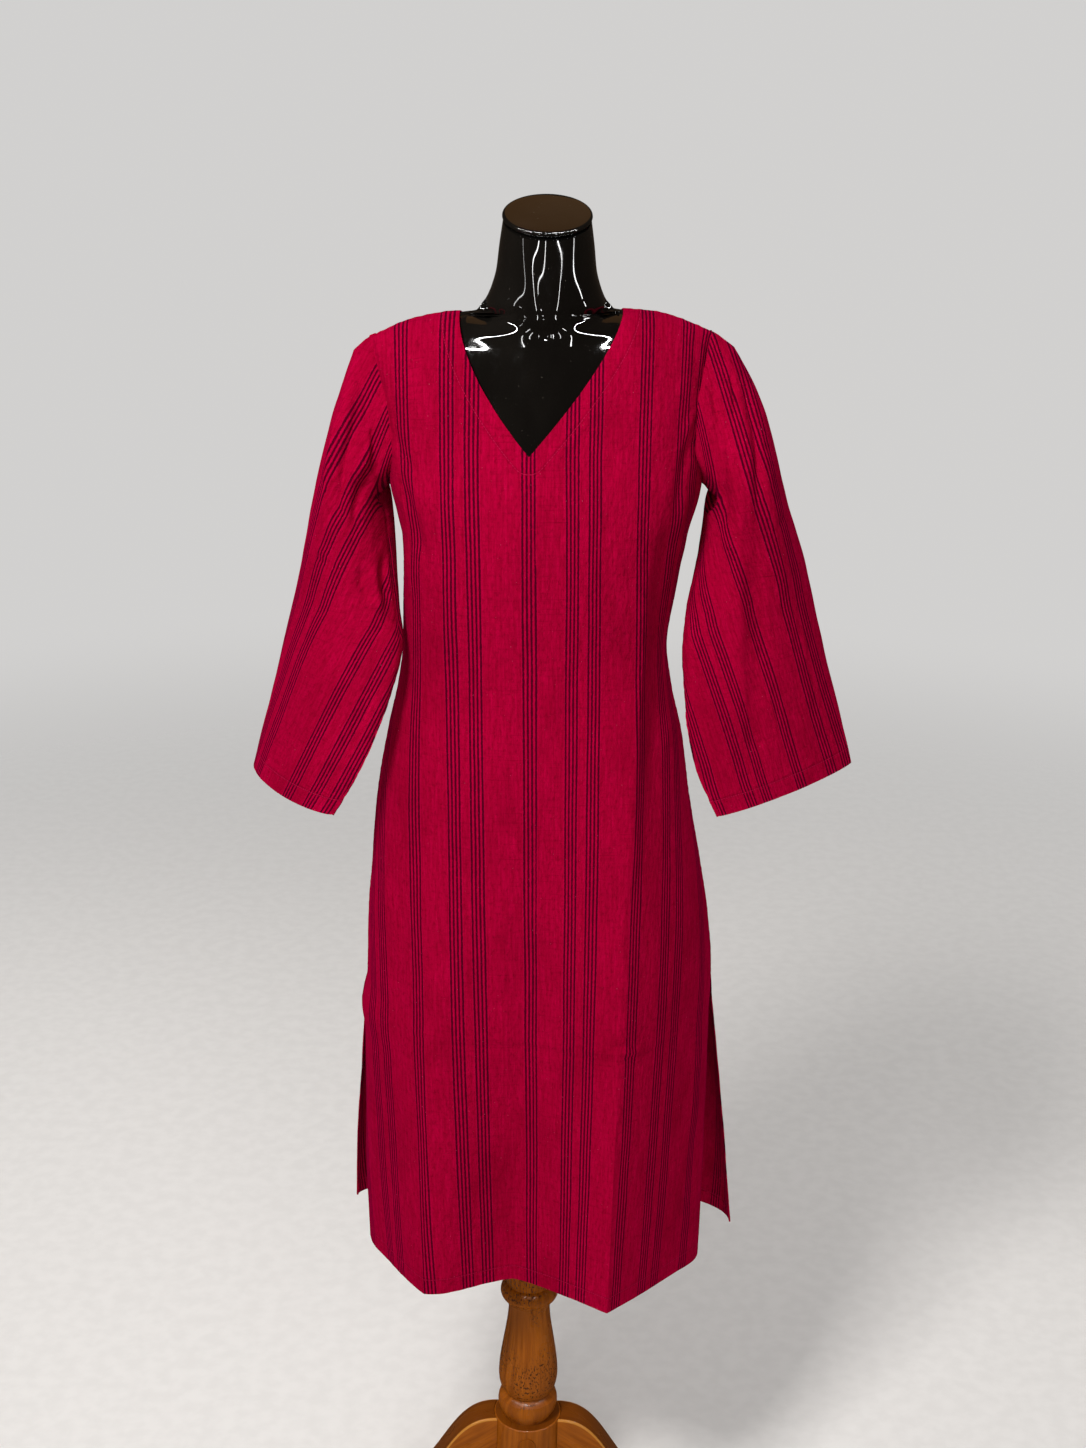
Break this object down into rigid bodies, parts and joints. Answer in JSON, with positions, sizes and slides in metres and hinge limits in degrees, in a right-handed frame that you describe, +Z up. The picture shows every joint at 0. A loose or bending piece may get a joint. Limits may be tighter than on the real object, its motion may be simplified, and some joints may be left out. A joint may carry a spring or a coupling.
{
  "type": "kurta tunic on a dress form",
  "caption": "Knee-length striped kurta tunic with a V neck, three-quarter sleeves and side slits, worn by a limbless dress form on a turned wooden stand.",
  "frame": {"origin": "on the floor, below the middle of the whole object's box", "axes": "+Z up, the garment's front faces -Y, the sleeve at the picture's right is at +X"},
  "size_m": [0.6752, 0.49, 1.688],
  "materials": {
    "cloth": "hand-woven cotton, matte with a faint sheen, magenta with groups of thin dark lines",
    "form": "black, glossy",
    "wood": "golden-brown varnish"
  },
  "bodies": {
    "root": {"front_panel": "cloth", "back_panel": "cloth", "left_sleeve": "cloth", "right_sleeve": "cloth", "dress_form": "form", "neck_cap": "form", "stem": "wood", "hub": "wood", "plug": "wood", "leg_right": "wood", "leg_back": "wood", "leg_left": "wood", "leg_front": "wood"}
  },
  "joints": []
}
